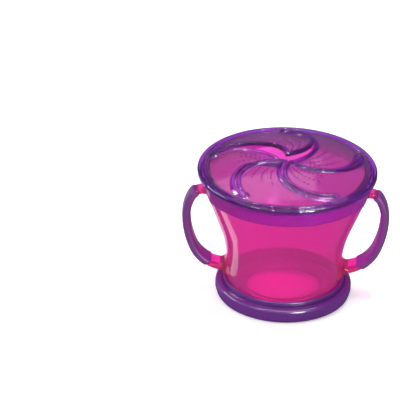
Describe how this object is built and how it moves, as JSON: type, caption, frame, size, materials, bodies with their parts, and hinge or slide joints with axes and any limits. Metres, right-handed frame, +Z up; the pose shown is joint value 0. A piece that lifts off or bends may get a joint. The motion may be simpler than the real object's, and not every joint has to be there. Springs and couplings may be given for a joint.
{
  "type": "toddler snack cup",
  "caption": "Two-handled snack cup with soft grips, a base ring and a clip-on ring lid whose soft domed top is cut into curved flaps.",
  "frame": {"origin": "centre of the base ring's underside, on the table", "axes": "+Z up, +X along the two handles, +Y towards the back"},
  "size_m": [0.1118, 0.097, 0.0827],
  "materials": {
    "cup_plastic": "clear-tinted, glossy moulded",
    "grip_rubber": "satin overmoulded",
    "base_plastic": "glossy moulded",
    "ring_plastic": "clear-tinted, glossy moulded",
    "soft_top": "translucent soft satin"
  },
  "bodies": {
    "cup": {"cup_shell": "cup_plastic", "grip_left": "grip_rubber", "grip_right": "grip_rubber", "base_ring": "base_plastic"},
    "lid": {"lid_ring": "ring_plastic", "flap_frame": "soft_top"},
    "flap_1": {"flap_1": "soft_top"},
    "flap_2": {"flap_2": "soft_top"},
    "flap_3": {"flap_3": "soft_top"},
    "flap_4": {"flap_4": "soft_top"},
    "flap_5": {"flap_5": "soft_top"}
  },
  "joints": [
    {"name": "lid_lift", "type": "slide", "parent": "cup", "child": "lid", "axis": [0, 0, 1], "range_m": [0, 0.045]},
    {"name": "flap_1_bend", "type": "hinge", "parent": "lid", "child": "flap_1", "pos_m": [0.0187, 0.02762, 0.07728], "axis": [0.8281, -0.5606, 0], "range_deg": [-12, 60], "stiffness_Nm_per_rad": 0.02},
    {"name": "flap_2_bend", "type": "hinge", "parent": "lid", "child": "flap_2", "pos_m": [-0.02049, 0.02632, 0.07728], "axis": [0.7891, 0.6143, 0], "range_deg": [-12, 60], "stiffness_Nm_per_rad": 0.02},
    {"name": "flap_3_bend", "type": "hinge", "parent": "lid", "child": "flap_3", "pos_m": [-0.03136, -0.01135, 0.07728], "axis": [-0.3404, 0.9403, 0], "range_deg": [-12, 60], "stiffness_Nm_per_rad": 0.02},
    {"name": "flap_4_bend", "type": "hinge", "parent": "lid", "child": "flap_4", "pos_m": [0.00111, -0.03333, 0.07728], "axis": [-0.9995, -0.0331, 0], "range_deg": [-12, 60], "stiffness_Nm_per_rad": 0.02},
    {"name": "flap_5_bend", "type": "hinge", "parent": "lid", "child": "flap_5", "pos_m": [0.03204, -0.00925, 0.07728], "axis": [-0.2773, -0.9608, 0], "range_deg": [-12, 60], "stiffness_Nm_per_rad": 0.02}
  ]
}
